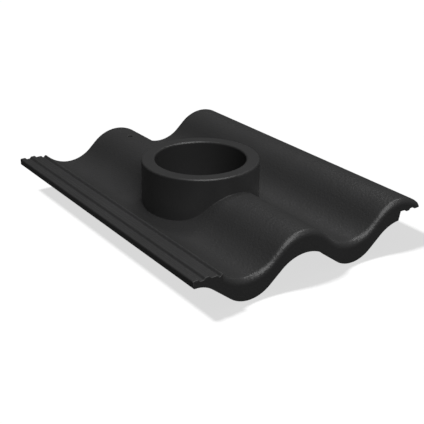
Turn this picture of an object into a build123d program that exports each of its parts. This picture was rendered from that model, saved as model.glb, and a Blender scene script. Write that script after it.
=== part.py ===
from build123d import *
import os
from math import asin, atan, cos, pi, radians, sin, sqrt, tan

# A double pantile with a pipe collar, cast as one piece.
# Lengths are in millimetres.
# X runs across the roof slope, from the lap strip on the left to the overlap on the right.
# Y runs up the slope, from the nose at the eaves end to the head. Z points away from the roof.
# The origin lies under the middle of the tile, on the plane that its nose and nibs rest on.

# The tile and its waves
tile_length = 420
pitch = 150
wave_count = 2
wave_height = 34
crest_radius = 50
flank_length = 12.5
body_thickness = 12.5

# The nose, which lies on the head of the tile below
nose_depth = 26.5
nose_length = 22
nose_rounding = 7
nose_crest_room = 0.5
nose_flank_length = 21.5
nose_level_width = 0.5

# The weather bar behind the nose
bar_gap = 18
bar_length = 12
bar_clearance = 3

# The lap strip on the left, from its outer edge to the ridge beside the first flank
lip_width = 7
groove_width = 4.5
rib_width = 5.5
ledge_width = 7.7
drain_width = 1.6
ridge_width = 1.6
step_run = 2
lip_below_crest = 15
groove_depth = 2.3
drain_depth = 4.7
lip_rounding = 1.5
arris_rounding = 0.8
strip_thickness = 9
strip_corner_radius = 2
strip_level_width = 17.5
crest_to_ridge = 38.6

# The overlap on the right, which covers the next tile's lap strip
tip_thickness = 5.25
lap_clearance = 0.3
lap_gap = 0.8
wall_lean = 2.5
check_rib_width = 6
check_rib_drop = 5
tip_corner_radius = 1
tip_rounding = 2.5

# The pipe collar, with the sleeve that carries its bore down through the tile
collar_from_nose = 203
collar_radius = 74.5
collar_draft = 0.6
collar_rise = 23
sleeve_drop = 6
sleeve_chamfer = 2
bore_radius = 57.5
rim_rounding = 2

# The two hanging nibs and the nail hole at the head
hook_from_head = 28
nib_width = 60
nib_thickness = 14
nib_draft = 8
nib_corner_radius = 3
nail_from_head = 42
nail_hole_radius = 3.5

# Places that follow from the sizes above
half_pitch = pitch / 2
cover_width = wave_count * pitch
strip_parts = [
    (lip_width, 0),
    (groove_width, groove_depth),
    (rib_width, 0),
    (ledge_width, groove_depth),
    (drain_width, drain_depth),
]
strip_width = sum(width + step_run for width, depth in strip_parts) + ridge_width
trough_z = nose_depth
crest_z = trough_z + wave_height
lip_z = crest_z - lip_below_crest
strip_z = lip_z - strip_thickness
body_z = trough_z - body_thickness

# The overlap ends where its crest has come down to the next tile's ledge and the tip's thickness
tip_drop = lip_below_crest + groove_depth - lap_clearance - tip_thickness
crest_to_tip = sqrt(tip_drop * (2 * crest_radius - tip_drop))
overall_width = strip_width - crest_to_ridge + cover_width + crest_to_tip
left_x = -overall_width / 2
right_x = overall_width / 2
ridge_x = left_x + strip_width
trough_x = ridge_x - crest_to_ridge + half_pitch
next_tile_x = left_x + cover_width
wall_x = next_tile_x - lap_gap - wall_lean
nose_y = -tile_length / 2
head_y = tile_length / 2
bar_y = nose_y + nose_length + bar_gap
collar_x = trough_x + half_pitch
collar_y = nose_y + collar_from_nose
collar_z = crest_z + collar_rise
sleeve_z = body_z - sleeve_drop
hook_y = head_y - hook_from_head
nail_y = head_y - nail_from_head

# Far enough for a cut or a block to end clear of the tile
beyond = 2 * collar_z


class Wave:
    """Troughs and crests as arcs, with straight flanks that run into both without a corner."""

    def __init__(self, low_z, height, top_radius, flank):
        self.low_z = low_z
        self.high_z = low_z + height
        self.slope = 2 * atan(height / (half_pitch + flank))
        self.top_radius = top_radius
        self.low_radius = (half_pitch - flank * cos(self.slope)) / sin(self.slope) - top_radius
        self.low_reach = self.low_radius * sin(self.slope)
        self.top_reach = self.top_radius * sin(self.slope)

    def from_trough(self, x):
        """How far one place across the tile is from the nearest trough."""
        return abs((x - trough_x + half_pitch) % pitch - half_pitch)

    def z(self, x):
        """Height of the wave at one place across the tile."""
        across = self.from_trough(x)
        to_crest = half_pitch - across
        if across <= self.low_reach:
            return self.low_z + self.low_radius - sqrt(self.low_radius**2 - across**2)
        if to_crest <= self.top_reach:
            return self.high_z - self.top_radius + sqrt(self.top_radius**2 - to_crest**2)
        flank_foot_z = self.low_z + self.low_radius * (1 - cos(self.slope))
        return flank_foot_z + (across - self.low_reach) * tan(self.slope)

    def lean(self, x):
        """Angle of the wave at one place, 0 at a trough or a crest and steepest on the flanks."""
        across = self.from_trough(x)
        to_crest = half_pitch - across
        if across <= self.low_reach:
            return asin(across / self.low_radius)
        return asin(min(to_crest, self.top_reach) / self.top_radius)

    def edges(self, start_x, end_x):
        """The wave from left to right, as arcs and straight lines."""
        joins = [start_x, end_x]
        half_waves = wave_count * 2 + 1
        for half_wave in range(-half_waves, half_waves + 1):
            middle_x = trough_x + half_wave * half_pitch
            reach = self.top_reach if half_wave % 2 else self.low_reach
            joins += [x for x in (middle_x - reach, middle_x + reach) if start_x < x < end_x]
        joins.sort()
        edges = []
        for x1, x2 in zip(joins, joins[1:]):
            middle_x = (x1 + x2) / 2
            if self.low_reach < self.from_trough(middle_x) < half_pitch - self.top_reach:
                edges += straight([(x1, self.z(x1)), (x2, self.z(x2))])
            else:
                edges.append(arc([(x, self.z(x)) for x in (x1, middle_x, x2)]))
        return edges


def straight(points):
    """Straight edges through points of the section, each given as x and z."""
    return [Edge.make_line((x1, 0, z1), (x2, 0, z2)) for (x1, z1), (x2, z2) in zip(points, points[1:])]


def arc(points):
    """An arc through three points of the section."""
    return Edge.make_three_point_arc(*[(x, 0, z) for x, z in points])


def rounded(points, radius):
    """Straight edges through points of the section, with an arc at each corner between them."""
    corners = [Vector(x, 0, z) for x, z in points]
    joins = [corners[0]]
    for before, corner, after in zip(corners, corners[1:], corners[2:]):
        back = (before - corner).normalized()
        ahead = (after - corner).normalized()
        half_angle = radians(back.get_angle(ahead)) / 2
        tangent = radius / tan(half_angle)
        to_arc = radius / sin(half_angle) - radius
        middle = corner + (back + ahead).normalized() * to_arc
        joins += [corner + back * tangent, middle, corner + ahead * tangent]
    joins.append(corners[-1])
    edges = [Edge.make_line(start, end) for start, end in zip(joins[::3], joins[1::3])]
    arcs = zip(joins[1::3], joins[2::3], joins[3::3])
    return edges + [Edge.make_three_point_arc(*places) for places in arcs]


def round_corner(x, z, radius, start, turn=pi / 2):
    """An arc about a centre, from a starting angle through a turn, both from +X towards +Z."""
    angles = [start, start + turn / 2, start + turn]
    return arc([(x + radius * cos(angle), z + radius * sin(angle)) for angle in angles])


def prism(edges, start_y, end_y):
    """A closed section, run along the tile."""
    section = Face(Wire(edges))
    return Pos(0, start_y, 0) * extrude(section, amount=end_y - start_y, dir=(0, 1, 0))


def strip_points(start_x, parts, raised_by=0):
    """The steps of the lap strip's top, from its outer edge inwards."""
    points = []
    x = start_x
    for width, depth in parts:
        z = lip_z - depth + raised_by
        points += [(x, z), (x + width, z)]
        x += width + step_run
    return points


top_wave = Wave(trough_z, wave_height, crest_radius, flank_length)
body_wave = Wave(body_z, wave_height, crest_radius - body_thickness, flank_length)
nose_wave = Wave(0, wave_height + nose_crest_room, crest_radius, nose_flank_length)
bar_wave = Wave(bar_clearance, wave_height + nose_crest_room, crest_radius, nose_flank_length)
tip_wave = Wave(trough_z - tip_rounding, wave_height, crest_radius - tip_rounding, flank_length)


def strip_underside(wave, level_width):
    """Round the outer edge and level under the strip, then down to the foot of the first flank."""
    outer_z = strip_z + strip_corner_radius
    inner_x = left_x + strip_corner_radius
    start = (inner_x + level_width, strip_z)
    foot = (trough_x - wave.low_reach, wave.z(trough_x - wave.low_reach))
    bend_x = foot[0] - (strip_z - foot[1]) / tan(wave.slope)
    tangent = bend_x - start[0]
    radius = tangent / tan(wave.slope / 2)
    middle = (start[0] + radius * sin(wave.slope / 2), strip_z - radius * (1 - cos(wave.slope / 2)))
    end = (bend_x + tangent * cos(wave.slope), strip_z - tangent * sin(wave.slope))
    edges = straight([(left_x - beyond, outer_z), (left_x, outer_z)])
    edges.append(round_corner(inner_x, outer_z, strip_corner_radius, pi))
    edges += straight([(inner_x, strip_z), start])
    edges.append(arc([start, middle, end]))
    return edges + straight([end, foot])


def overlap_underside(wall_points):
    """Up the wall beside the next tile's lip, over its ribs and round the tip to the top of the wave."""
    points = strip_points(next_tile_x, strip_parts[:-1], lap_clearance)
    points[0] = (next_tile_x - lap_gap, points[0][1])
    tip_x = right_x - tip_corner_radius
    tip_z = points[-1][1] + tip_corner_radius
    points[-1] = (tip_x, points[-1][1])
    round_x = right_x - tip_rounding
    round_z = tip_wave.z(round_x)
    turn = pi / 2 - tip_wave.lean(round_x)
    edges = rounded(wall_points + points, arris_rounding)
    edges.append(round_corner(tip_x, tip_z, tip_corner_radius, -pi / 2))
    edges += straight([(right_x, tip_z), (right_x, round_z)])
    edges.append(round_corner(round_x, round_z, tip_rounding, 0, turn))
    return edges, round_x + tip_rounding * cos(turn), round_z + tip_rounding * sin(turn)


def space_under(wave, level_width, wall_points, start_y, end_y):
    """Everything below one line of the underside, and outside the tip of the overlap."""
    strip = strip_underside(wave, level_width)
    waves = wave.edges(trough_x - wave.low_reach, wall_points[0][0])
    overlap, end_x, end_z = overlap_underside(wall_points)
    far_left_x = left_x - beyond
    far_right_x = right_x + beyond
    around = [
        (end_x, end_z),
        (end_x, crest_z),
        (far_right_x, crest_z),
        (far_right_x, -beyond),
        (far_left_x, -beyond),
        (far_left_x, strip_z + strip_corner_radius),
    ]
    return prism(strip + waves + overlap + straight(around), start_y, end_y)


def nose_space(wave, start_y, end_y):
    """The space under the nose or the weather bar, up to the wall beside the next tile's lip."""
    return space_under(wave, nose_level_width, [(wall_x, wave.z(wall_x))], start_y, end_y)


def body_space(start_y, end_y):
    """The space under the thin body, whose check rib hangs beside the next tile's lip."""
    rib_x = wall_x - check_rib_width
    rib_z = lip_z - check_rib_drop
    wall_points = [(rib_x, body_wave.z(rib_x)), (rib_x + step_run, rib_z), (wall_x, rib_z)]
    return space_under(body_wave, strip_level_width, wall_points, start_y, end_y)


def wave_block():
    """The waves as a deep block with a round front edge, run past the ridge and then cut off there."""
    near_x = trough_x - half_pitch
    far_x = trough_x + cover_width
    sides = [(far_x, trough_z), (far_x, -beyond), (near_x, -beyond), (near_x, crest_z)]
    block = prism(top_wave.edges(near_x, far_x) + straight(sides), nose_y, head_y)
    front = block.faces().sort_by(Axis.Y)[0]
    front_top = front.edges().filter_by(lambda edge: edge.bounding_box().min.Z > 0)
    block = fillet(front_top, nose_rounding)
    corners = [(ridge_x, -2 * beyond), (ridge_x, beyond), (ridge_x - beyond, beyond)]
    corners += [(ridge_x - beyond, -2 * beyond), (ridge_x, -2 * beyond)]
    return block - prism(straight(corners), nose_y - beyond, head_y + beyond)


def strip_block():
    """The lap strip as a deep block: lip, groove, rib, ledge and drain, and the ridge beside the wave."""
    points = strip_points(left_x, strip_parts)
    lip_x = left_x + lip_rounding
    round_z = lip_z - lip_rounding
    ridge_z = top_wave.z(ridge_x)
    points[0] = (lip_x, lip_z)
    points += [(ridge_x - ridge_width, ridge_z), (ridge_x, ridge_z)]
    sides = [(ridge_x, ridge_z), (ridge_x, -beyond), (left_x, -beyond), (left_x, round_z)]
    outline = rounded(points, arris_rounding) + straight(sides)
    outline.append(round_corner(lip_x, round_z, lip_rounding, pi / 2))
    return prism(outline, nose_y, head_y)


def collar():
    """The pipe collar as a solid plug, with draft from its rim to the lower edge of its sleeve."""
    height = collar_z - sleeve_z
    base_radius = collar_radius + height * tan(radians(collar_draft))
    plug = Pos(0, 0, sleeve_z + height / 2) * Cone(base_radius, collar_radius, height)
    plug = chamfer(plug.faces().sort_by(Axis.Z)[0].edges(), sleeve_chamfer)
    return Pos(collar_x, collar_y, 0) * fillet(plug.faces().sort_by(Axis.Z)[-1].edges(), rim_rounding)


def bore():
    """The pipe's way through the tile, as a solid: a cylinder that widens at the sleeve's lower edge."""
    mouth = Cone(bore_radius + sleeve_chamfer, bore_radius, sleeve_chamfer)
    flared = Cylinder(bore_radius, 2 * beyond) + Pos(0, 0, sleeve_z + sleeve_chamfer / 2) * mouth
    return Pos(collar_x, collar_y, 0) * flared


def nib(x):
    """A tapered post for a hanging nib: its hooking face stands square, and its other sides have draft."""
    height = crest_z
    draft = radians(nib_draft)
    spread = height * tan(draft)
    low_x = x - nib_width / 2
    high_x = x + nib_width / 2
    outline = [(low_x, 0), (high_x, 0), (high_x + spread, height), (low_x - spread, height), (low_x, 0)]
    post = prism(straight(outline), hook_y, hook_y + nib_thickness + spread)
    back = Plane(origin=(x, hook_y + nib_thickness, 0), z_dir=(0, cos(draft), -sin(draft)))
    post = split(post, bisect_by=back, keep=Keep.BOTTOM)
    sides = post.edges().filter_by(lambda edge: edge.bounding_box().size.Z > height / 2)
    return fillet(sides, nib_corner_radius)


def vent_tile():
    """The whole tile: waves and strip, hollowed from below, then the collar, the nibs and the holes."""
    block = wave_block() + strip_block()
    tile = block - nose_space(nose_wave, nose_y - nose_length, head_y + nose_length)
    tile -= body_space(nose_y + nose_length, bar_y)
    tile -= nose_space(bar_wave, bar_y, bar_y + bar_length)
    tile -= body_space(bar_y + bar_length, head_y + nose_length)
    tile += collar()
    for wave in range(wave_count):
        tile += nib(trough_x + wave * pitch) & block
    tile -= Pos(collar_x, nail_y, 0) * Cylinder(nail_hole_radius, 2 * beyond)
    tile -= bore()
    rim = tile.faces().sort_by(Axis.Z)[-1]
    return fillet(rim.inner_wires().edges(), rim_rounding)


os.makedirs("parts", exist_ok=True)
export_step(vent_tile(), "parts/vent_tile.step")
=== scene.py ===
# %% [markdown]
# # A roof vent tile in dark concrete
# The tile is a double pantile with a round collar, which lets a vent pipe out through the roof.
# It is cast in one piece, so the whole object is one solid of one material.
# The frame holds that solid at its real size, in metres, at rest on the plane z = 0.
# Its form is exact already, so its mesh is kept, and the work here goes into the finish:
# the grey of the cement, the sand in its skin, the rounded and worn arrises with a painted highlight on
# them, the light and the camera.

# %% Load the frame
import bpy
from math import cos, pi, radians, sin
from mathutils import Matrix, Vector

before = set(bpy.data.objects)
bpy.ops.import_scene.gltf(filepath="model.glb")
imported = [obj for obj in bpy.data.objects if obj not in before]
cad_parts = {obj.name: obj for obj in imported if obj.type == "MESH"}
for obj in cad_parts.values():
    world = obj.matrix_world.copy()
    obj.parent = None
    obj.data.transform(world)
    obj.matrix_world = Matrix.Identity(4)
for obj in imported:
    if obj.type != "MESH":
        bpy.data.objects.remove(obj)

# %% [markdown]
# ## Units and the box of the solid
# A finish is easiest to set out in millimetres, so one name turns them into Blender's metres.
# The size of the untouched solid is printed now.

MM = 0.001
scene = bpy.context.scene
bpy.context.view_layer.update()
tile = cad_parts["vent_tile"]
print("The tile measures", [round(size / MM, 1) for size in tile.dimensions], "mm")

# %% [markdown]
# ## The camera
# The picture was taken from the left of the nose, looking down at about 25 degrees.
# Its place and angles were found by laying the tile's outline over the photograph.
# A camera can be turned by hand until it fits, but three directions are exact and easy to read:
# where it looks, what is level to its right, and what is up. Together they are its matrix.
# The Standard view transform shows colours as they are written, with no film curve over them.

# %% Camera
CAMERA_PLACE = Vector((-602.756, -857.813, 481.331)) * MM
CAMERA_YAW = 0.617578
CAMERA_PITCH = 0.429510
CAMERA_ROLL = 0.003542
FOCAL_PIXELS = 880.205
PICTURE_WIDTH = 424
SENSOR_WIDTH = 36

lens = bpy.data.cameras.new("photo_camera")
lens.sensor_width = SENSOR_WIDTH
lens.lens = FOCAL_PIXELS / PICTURE_WIDTH * SENSOR_WIDTH
camera = bpy.data.objects.new("photo_camera", lens)
scene.collection.objects.link(camera)
scene.camera = camera

level = Vector((cos(CAMERA_YAW), -sin(CAMERA_YAW), 0))
ahead = Vector((sin(CAMERA_YAW), cos(CAMERA_YAW), 0))
view = ahead * cos(CAMERA_PITCH) - Vector((0, 0, sin(CAMERA_PITCH)))
above = level.cross(view)
right = level * cos(CAMERA_ROLL) + above * sin(CAMERA_ROLL)
top = above * cos(CAMERA_ROLL) - level * sin(CAMERA_ROLL)
turn = Matrix((right, top, -view)).transposed().to_4x4()
camera.matrix_world = Matrix.Translation(CAMERA_PLACE) @ turn
scene.view_settings.view_transform = "Standard"
print("The lens is", round(lens.lens, 1), "mm, and the tile is", round(CAMERA_PLACE.length, 2), "m away")

# %% [markdown]
# ## Small helpers for node trees
# A node tree can be built click by click. In code, three short helpers do the same.
# One adds a node and sets its options, one feeds a socket, and one does a step of arithmetic.
# A socket is fed by a link if it is given another socket, and otherwise it takes the plain value.


# %% Node helpers
def add_node(tree, kind, **options):
    """Adds a node of this kind and sets its options, such as operation or data_type."""
    node = tree.nodes.new(kind)
    for name, value in options.items():
        setattr(node, name, value)
    return node


def feed(tree, socket, value):
    """Links another socket to this one, or sets this one to a plain value."""
    if isinstance(value, bpy.types.NodeSocket):
        tree.links.new(value, socket)
    else:
        socket.default_value = value


def arithmetic(tree, operation, *values):
    """Does one step of arithmetic on sockets or numbers and returns the result's socket."""
    node = add_node(tree, "ShaderNodeMath", operation=operation)
    for socket, value in zip(node.inputs, values):
        feed(tree, socket, value)
    return node.outputs["Value"]


print("The node helpers are ready")

# %% [markdown]
# ## Speckle, a shared effect
# Cement, sand and pigment never mix evenly, so the surface is cloudy at every scale.
# The same effect serves for soft clouds as wide as a hand and for grains of sand.
# Each could have its own noise and its own sums. A node group is built once instead, with its size
# in metres and its stretch as inputs, and each use places it again with its own values.
# Noise keeps close to its middle, so the group spreads it about that middle by a contrast.

# %% Speckle group
MIDDLE = 0.5

speckle = bpy.data.node_groups.new("speckle", "ShaderNodeTree")
speckle.interface.new_socket("Place", in_out="INPUT", socket_type="NodeSocketVector")
for name in ("Size", "Stretch", "Detail", "Contrast"):
    speckle.interface.new_socket(name, in_out="INPUT", socket_type="NodeSocketFloat")
speckle.interface.new_socket("Amount", in_out="OUTPUT", socket_type="NodeSocketFloat")

given = add_node(speckle, "NodeGroupInput").outputs
squeeze = add_node(speckle, "ShaderNodeCombineXYZ")
feed(speckle, squeeze.inputs["X"], 1)
feed(speckle, squeeze.inputs["Y"], arithmetic(speckle, "DIVIDE", 1, given["Stretch"]))
feed(speckle, squeeze.inputs["Z"], 1)
stretched = add_node(speckle, "ShaderNodeVectorMath", operation="MULTIPLY")
feed(speckle, stretched.inputs[0], given["Place"])
feed(speckle, stretched.inputs[1], squeeze.outputs["Vector"])
noise = add_node(speckle, "ShaderNodeTexNoise")
feed(speckle, noise.inputs["Vector"], stretched.outputs["Vector"])
feed(speckle, noise.inputs["Scale"], arithmetic(speckle, "DIVIDE", 1, given["Size"]))
feed(speckle, noise.inputs["Detail"], given["Detail"])
centred = arithmetic(speckle, "SUBTRACT", noise.outputs["Fac"], MIDDLE)
spread = arithmetic(speckle, "MULTIPLY_ADD", centred, given["Contrast"], MIDDLE)
bounded = arithmetic(speckle, "MINIMUM", arithmetic(speckle, "MAXIMUM", spread, 0), 1)
feed(speckle, add_node(speckle, "NodeGroupOutput").inputs["Amount"], bounded)


def add_speckle(tree, place, size, stretch=1.0, detail=1.0, contrast=1.8):
    """Places the speckle group and returns its amount, from 0 to 1 and 0.5 on average."""
    group = add_node(tree, "ShaderNodeGroup", node_tree=speckle)
    for name, value in (("Place", place), ("Size", size), ("Stretch", stretch),
                        ("Detail", detail), ("Contrast", contrast)):
        feed(tree, group.inputs[name], value)
    return group.outputs["Amount"]


print("The speckle group has", len(speckle.nodes), "nodes")

# %% [markdown]
# ## The concrete and its grain
# The tile is pressed from sand, cement and black pigment, so one colour goes right through.
# A wet slurry of cement closes the surface, which leaves it smooth, with a dull sheen and a faint grain.
# A picture of concrete would need the tile unwrapped and would repeat. Three layers of speckle
# fill space instead: wide clouds from the mixing, grains that the press drew out along the tile,
# and the finest sand. All read Object coordinates, so they stay put on the tile.

# %% Concrete, clouds and grain
CLOUD_SIZE = 55 * MM
CLOUD_DETAIL = 3
CLOUD_CONTRAST = 1.2
GRAIN_SIZE = 2.6 * MM
GRAIN_STRETCH = 1.3
SAND_SIZE = 0.7 * MM

concrete = bpy.data.materials.new("concrete")
concrete.use_nodes = True
tree = concrete.node_tree
shader = tree.nodes["Principled BSDF"]
place = add_node(tree, "ShaderNodeTexCoord").outputs["Object"]

clouds = add_speckle(tree, place, CLOUD_SIZE, detail=CLOUD_DETAIL, contrast=CLOUD_CONTRAST)
grain = add_speckle(tree, place, GRAIN_SIZE, stretch=GRAIN_STRETCH)
sand = add_speckle(tree, place, SAND_SIZE)
sizes = [round(size / MM, 1) for size in (CLOUD_SIZE, GRAIN_SIZE, SAND_SIZE)]
print("Clouds, grain and sand measure", sizes, "mm")

# %% [markdown]
# ## Soft masks
# Much of a finish is a question of where: on the collar or beside it, on an arris or on a face.
# A comparison would draw a hard line between the two. A Map Range node with a smooth step
# fades from one to the other, and this helper sets one up.


# %% Mask helper
def ramp(tree, value, start, end, low=0.0, high=1.0):
    """Runs smoothly from low to high while the value goes from start to end."""
    node = add_node(tree, "ShaderNodeMapRange", interpolation_type="SMOOTHSTEP")
    for name, number in (("From Min", start), ("From Max", end), ("To Min", low), ("To Max", high)):
        feed(tree, node.inputs[name], number)
    feed(tree, node.inputs["Value"], value)
    return node.outputs["Result"]


print("The mask helper is ready")

# %% [markdown]
# ## The smooth collar
# The waves are pressed by a roller, which draws the grain out, but the collar is cast in a polished ring.
# So the same concrete has far less grain there, and the line of light along its rim stays clean.
# A second material on the collar would end in a hard line at its foot, so the grain fades instead.
# How far a point lies from the collar's axis says whether it is on the collar, and a ramp over
# that distance gives a factor for the grain, small inside the ring and 1 outside it.

# %% Smooth collar
COLLAR_AXIS = (-16.45 * MM, -7 * MM, 0)
COLLAR_RADIUS = 75.5 * MM
COLLAR_FADE = 3 * MM
COLLAR_GRAIN = 0.15

aside = add_node(tree, "ShaderNodeVectorMath", operation="SUBTRACT")
feed(tree, aside.inputs[0], place)
feed(tree, aside.inputs[1], COLLAR_AXIS)
flattened = add_node(tree, "ShaderNodeVectorMath", operation="MULTIPLY")
feed(tree, flattened.inputs[0], aside.outputs["Vector"])
feed(tree, flattened.inputs[1], (1, 1, 0))
distance = add_node(tree, "ShaderNodeVectorMath", operation="LENGTH")
feed(tree, distance.inputs[0], flattened.outputs["Vector"])
outer = COLLAR_RADIUS + COLLAR_FADE
pressed = ramp(tree, distance.outputs["Value"], COLLAR_RADIUS, outer, low=COLLAR_GRAIN)
print("The collar keeps", COLLAR_GRAIN, "of the grain's height")

# %% [markdown]
# ## Pinholes
# Air bubbles that meet the mould leave pinholes under a millimetre wide.
# They could be modelled as dimples, but each is finer than the mesh, so they go into the material.
# A Voronoi texture gives one point to each cell of space, and a bubble is the small ball round it.
# A random number for each cell decides whether it holds one, and only those in the skin show.

# %% Pinholes
PINHOLE_CELL = 9 * MM
PINHOLE_RADIUS = 0.45 * MM
PINHOLE_SHARE = 0.3

cells = add_node(tree, "ShaderNodeTexVoronoi", feature="F1")
feed(tree, cells.inputs["Vector"], place)
feed(tree, cells.inputs["Scale"], 1 / PINHOLE_CELL)
chance = add_node(tree, "ShaderNodeSeparateColor")
feed(tree, chance.inputs["Color"], cells.outputs["Color"])
chosen = arithmetic(tree, "LESS_THAN", chance.outputs["Red"], PINHOLE_SHARE)
rim = PINHOLE_RADIUS / PINHOLE_CELL
round_hole = ramp(tree, cells.outputs["Distance"], rim, rim / 2)
pinholes = arithmetic(tree, "MULTIPLY", chosen, round_hole)
print("A share of", PINHOLE_SHARE, "of the cells hold a bubble of", 2 * PINHOLE_RADIUS / MM, "mm")

# %% [markdown]
# ## Rounded and worn arrises, with a painted highlight
# No cast arris is sharp: the mould rounds it, and handling rubs it down to paler sand.
# A bevel on every edge of a finished mesh is slow and breaks at the tile's thin steps.
# The Bevel node rounds the shading instead. Where the rounded normal leaves the true one,
# their dot product falls below 1. That is an arris, and the mask of wear and painted highlight grows as
# the product falls.
# A corner that points inwards bends the normal too, but little light reaches it.
# The Ambient Occlusion node finds such corners and keeps the wear and the painted highlight out of them.
# The grain makes the wear and the painted highlight patchy, as rubbing leaves some of the skin on.

# %% Arrises
ARRIS_RADIUS = 1.6 * MM
CORNER_REACH = 4 * MM
SAMPLES = 8
FIRST_WEAR_AND_HIGHLIGHT = 0.995
FULL_WEAR_AND_HIGHLIGHT = 0.90
SHUT_CORNER = 0.75
OPEN_CORNER = 0.95
PATCH_RANGE = (0.15, 0.6)
LEAST_PATCH = 0.45

rounded = add_node(tree, "ShaderNodeBevel", samples=SAMPLES)
feed(tree, rounded.inputs["Radius"], ARRIS_RADIUS)
bend = add_node(tree, "ShaderNodeVectorMath", operation="DOT_PRODUCT")
feed(tree, bend.inputs[0], rounded.outputs["Normal"])
feed(tree, bend.inputs[1], add_node(tree, "ShaderNodeNewGeometry").outputs["Normal"])
openness = add_node(tree, "ShaderNodeAmbientOcclusion", samples=SAMPLES)
feed(tree, openness.inputs["Distance"], CORNER_REACH)

arris = ramp(tree, bend.outputs["Value"], FIRST_WEAR_AND_HIGHLIGHT, FULL_WEAR_AND_HIGHLIGHT)
outward = ramp(tree, openness.outputs["AO"], SHUT_CORNER, OPEN_CORNER)
patchy = ramp(tree, grain, *PATCH_RANGE, low=LEAST_PATCH)
# Mask of the arrises: it marks real wear and also where a painted highlight goes.
arris_wear_and_highlight = arithmetic(tree, "MULTIPLY", arithmetic(tree, "MULTIPLY", arris, outward), patchy)
print("Arrises are rounded by", ARRIS_RADIUS / MM, "mm")

# %% [markdown]
# ## Colour
# One flat grey would look like plastic. The clouds and the grain vary it a little,
# at most by an eighth of its mean. Arrises are paler, partly from wear and partly as a painted highlight,
# and pinholes are darker, as painted shade in the holes.
# The colours are written as they are, in linear values, because the light is plain.

# %% Colour
DARK_CEMENT = (0.0315, 0.0315, 0.0317, 1)
PALE_CEMENT = (0.0400, 0.0400, 0.0404, 1)
# Paler colour on the arrises: partly real wear, partly a painted highlight along the edges.
WORN_SAND_AND_HIGHLIGHT = (0.0800, 0.0795, 0.0790, 1)
# Painted shade: pinholes are coloured darker, as if shade fell into the holes.
PINHOLE_PAINTED_SHADE = (0.012, 0.012, 0.012, 1)
CLOUD_SHARE = 0.65
GRAIN_SHARE = 0.35


def blend(tree, amount, first, second):
    """Mixes two colours by an amount from 0 to 1."""
    node = add_node(tree, "ShaderNodeMix", data_type="RGBA")
    # The node has sockets of the same name for numbers, vectors and colours. Their identifiers differ.
    sockets = {socket.identifier: socket for socket in [*node.inputs, *node.outputs]}
    feed(tree, sockets["Factor_Float"], amount)
    feed(tree, sockets["A_Color"], first)
    feed(tree, sockets["B_Color"], second)
    return sockets["Result_Color"]


cloudy = arithmetic(tree, "MULTIPLY", clouds, CLOUD_SHARE)
mottle = arithmetic(tree, "MULTIPLY_ADD", grain, GRAIN_SHARE, cloudy)
cement = blend(tree, mottle, DARK_CEMENT, PALE_CEMENT)
# The arrises are painted paler: partly wear, partly a painted highlight.
worn_and_highlit = blend(tree, arris_wear_and_highlight, cement, WORN_SAND_AND_HIGHLIGHT)
# Pinholes get painted shade, a darker colour that stands in for the shade in the holes.
feed(tree, shader.inputs["Base Color"], blend(tree, pinholes, worn_and_highlit, PINHOLE_PAINTED_SHADE))
print("The cement runs from", DARK_CEMENT[0], "to", PALE_CEMENT[0])

# %% [markdown]
# ## Sheen and relief
# The cement skin has a dull sheen, which varies with the clouds and is lost where it has worn.
# The grain stands about two tenths of a millimetre proud and the sand far less, and pinholes sink in.
# Displacing the mesh for them would take millions of faces. One Bump node takes all three
# as heights in metres instead, and starts from the rounded normal.

# %% Sheen and relief
SHEEN = 0.36
SHEEN_CHANGE = 0.08
WORN_ROUGHNESS = 0.3
GRAIN_HEIGHT = 0.22 * MM
SAND_HEIGHT = 0.012 * MM
PINHOLE_DEPTH = 0.25 * MM

dull = arithmetic(tree, "MULTIPLY_ADD", clouds, SHEEN_CHANGE, SHEEN)
feed(tree, shader.inputs["Roughness"], arithmetic(tree, "MULTIPLY_ADD", arris_wear_and_highlight, WORN_ROUGHNESS, dull))
relief = arithmetic(tree, "MULTIPLY", arithmetic(tree, "MULTIPLY", grain, pressed), GRAIN_HEIGHT)
relief = arithmetic(tree, "MULTIPLY_ADD", sand, SAND_HEIGHT, relief)
relief = arithmetic(tree, "MULTIPLY_ADD", pinholes, -PINHOLE_DEPTH, relief)
bump = add_node(tree, "ShaderNodeBump")
feed(tree, bump.inputs["Distance"], 1)
feed(tree, bump.inputs["Height"], relief)
feed(tree, bump.inputs["Normal"], rounded.outputs["Normal"])
feed(tree, shader.inputs["Normal"], bump.outputs["Normal"])
for material_slot in tile.material_slots:
    material_slot.material = concrete
print("The concrete has", len(tree.nodes), "nodes")

# %% [markdown]
# ## The floor
# The tile rests on a plain floor, and one plane is enough for it. It is so wide that its far edge
# isn't noticed.

# %% Floor
FLOOR_SIZE = 8

bpy.ops.object.select_all(action="DESELECT")
bpy.ops.mesh.primitive_plane_add(size=FLOOR_SIZE)
floor = bpy.context.active_object
floor.name = "floor"
print("The floor is", FLOOR_SIZE, "m wide")

# %% [markdown]
# ## Glow, paint and a choice
# The floor has to look pure white and still take the tile's shadow.
# More light would bleach the tile, so its surface is put together from light of its own and from paint.
# A Light Path node tells what kind of ray has arrived, and a Mix Shader node chooses by it.
# Three more helpers add these surfaces: a glow, a paint, and a choice between two.


# %% Surface helpers
def glow(tree, strength):
    """A white light of its own of this strength."""
    node = add_node(tree, "ShaderNodeEmission")
    feed(tree, node.inputs["Strength"], strength)
    return node.outputs["Emission"]


def paint(tree, grey):
    """A matt paint of this grey."""
    node = add_node(tree, "ShaderNodeBsdfDiffuse")
    feed(tree, node.inputs["Color"], (grey, grey, grey, 1))
    return node.outputs["BSDF"]


def choose(tree, condition, otherwise, surface):
    """Gives the surface where the condition is 1, and the other one where it is 0."""
    node = add_node(tree, "ShaderNodeMixShader")
    for socket, value in zip(node.inputs, (condition, otherwise, surface)):
        feed(tree, socket, value)
    return node.outputs["Shader"]


print("The surface helpers are ready")

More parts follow.
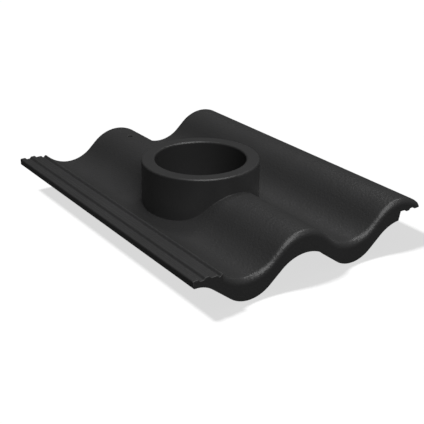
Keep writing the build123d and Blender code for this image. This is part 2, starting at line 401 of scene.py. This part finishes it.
# %% [markdown]
# ## The floor's white
# Most of the white is a glow, and the rest is paint, which is the part that the shadow can darken.
# Together they reach 1, which is white. Only the camera sees that. Other rays meet a dark grey floor,
# and glossy and transmitted rays see a faint white, because a full one would lay a veil over a dark tile.

# %% White for the camera
FLOOR_GLOW = 0.68
FLOOR_PAINT = 0.40
FLOOR_BOUNCE = 0.08
MIRRORED_WHITE = 0.05

white = bpy.data.materials.new("white_floor")
white.use_nodes = True
tree = white.node_tree
tree.nodes.clear()
ray = add_node(tree, "ShaderNodeLightPath").outputs
seen = add_node(tree, "ShaderNodeAddShader")
feed(tree, seen.inputs[0], glow(tree, FLOOR_GLOW))
feed(tree, seen.inputs[1], paint(tree, FLOOR_PAINT))
mirrored = arithmetic(tree, "MAXIMUM", ray["Is Glossy Ray"], ray["Is Transmission Ray"])
unseen = choose(tree, mirrored, paint(tree, FLOOR_BOUNCE), glow(tree, MIRRORED_WHITE))
surface = choose(tree, ray["Is Camera Ray"], unseen, seen.outputs["Shader"])
feed(tree, add_node(tree, "ShaderNodeOutputMaterial").inputs["Surface"], surface)
floor.data.materials.append(white)
print("In shadow the floor keeps", FLOOR_GLOW, "of its white")

# %% [markdown]
# ## The surround
# Above the floor's far edge the camera sees the world, so it is the same white.
# It lights the tile only a little, which keeps the faces that no lamp reaches from going black,
# and mirrored rays see it as faintly as they see the floor.

# %% Surround
AMBIENT = 0.05

world = bpy.data.worlds.new("studio")
world.use_nodes = True
scene.world = world
tree = world.node_tree
ray = add_node(tree, "ShaderNodeLightPath").outputs
mirrored = arithmetic(tree, "MAXIMUM", ray["Is Glossy Ray"], ray["Is Transmission Ray"])
faint = arithmetic(tree, "MULTIPLY", mirrored, MIRRORED_WHITE)
unseen = arithmetic(tree, "MAXIMUM", faint, AMBIENT)
brightness = arithmetic(tree, "MAXIMUM", ray["Is Camera Ray"], unseen)
background = tree.nodes["Background"]
feed(tree, background.inputs["Color"], (1, 1, 1, 1))
feed(tree, background.inputs["Strength"], brightness)
print("The surround lights the tile with a strength of", AMBIENT)

# %% [markdown]
# ## The lamps
# Three soft lamps light the tile. The wide key stands high in front of the nose and draws the bright line
# along its rounded edge and round the collar's rim. A weak one overhead evens out the level faces.
# The one behind on the right lifts the flanks that turn away from the key.
# All stand so far off that a sun lamp is the right kind: its light is the same everywhere,
# and its angle says how soft it is. With the surround they light a level surface to about 0.85,
# so a colour renders nearly as it is written.
# The shadow should fall forward, as a narrow band in front of the tile. A lamp behind would do that,
# but on the tile it would grey every level face. Light linking gives each lamp its own receivers,
# so the floor has a lamp of its own, behind on the left, and the other three leave it alone.


# %% Lamps
def add_lamp(name, receiver, azimuth, elevation, strength, spread):
    """A sun lamp for one receiver, turned clockwise from +Y and raised above the floor, in degrees."""
    lamp = bpy.data.lights.new(name, "SUN")
    lamp.energy = strength * pi
    lamp.angle = radians(spread)
    holder = bpy.data.objects.new(name, lamp)
    holder.rotation_mode = "XYZ"
    holder.rotation_euler = (radians(elevation - 90), 0, -radians(azimuth))
    scene.collection.objects.link(holder)
    lit = bpy.data.collections.new("lit_by_" + name)
    lit.objects.link(receiver)
    holder.light_linking.receiver_collection = lit
    return strength * sin(radians(elevation))


light = add_lamp("key", tile, azimuth=190, elevation=57, strength=0.60, spread=50)
light += add_lamp("overhead", tile, azimuth=0, elevation=90, strength=0.15, spread=30)
light += add_lamp("back", tile, azimuth=60, elevation=60, strength=0.18, spread=20)
print("The lamps light a level surface of the tile to", round(light, 2))
floor_light = add_lamp("shade", floor, azimuth=310, elevation=60, strength=0.93, spread=8)
print("Lit, the floor reaches", round(FLOOR_GLOW + FLOOR_PAINT * floor_light, 2), "and 1 is white")
